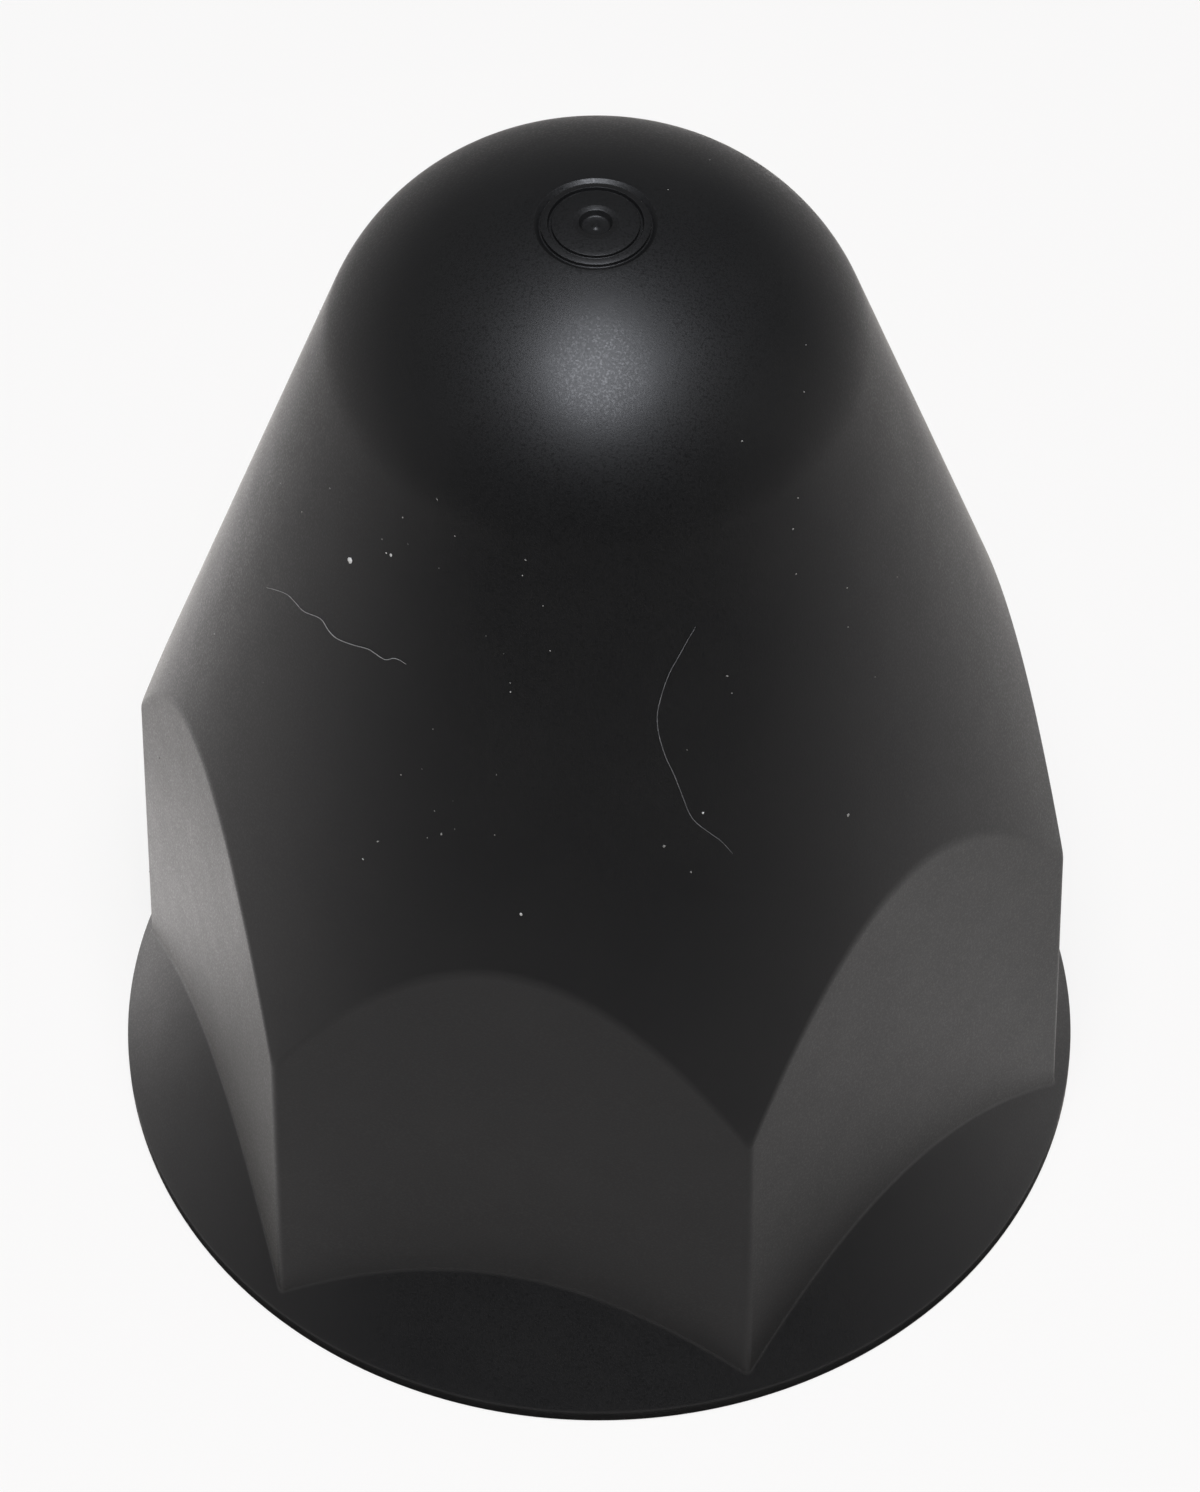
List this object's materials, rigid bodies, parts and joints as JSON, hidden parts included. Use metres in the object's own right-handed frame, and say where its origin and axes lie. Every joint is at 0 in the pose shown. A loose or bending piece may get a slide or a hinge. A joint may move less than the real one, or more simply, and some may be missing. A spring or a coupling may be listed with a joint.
{
  "type": "wheel nut cover cap",
  "caption": "Bullet-shaped push-on cover for a wheel nut, black plastic, with a hexagonal skirt, a sloping round flange and inner ribs that grip the nut.",
  "frame": {"origin": "centre of the open mouth, on the plane of the flange's underside", "axes": "+Z along the cap's axis from the mouth to the tip, -Y through the middle of one flat"},
  "size_m": [0.055, 0.055, 0.069],
  "materials": {
    "black_plastic": "satin black, fine moulded texture"
  },
  "bodies": {
    "root": {"cap": "black_plastic"}
  },
  "joints": []
}
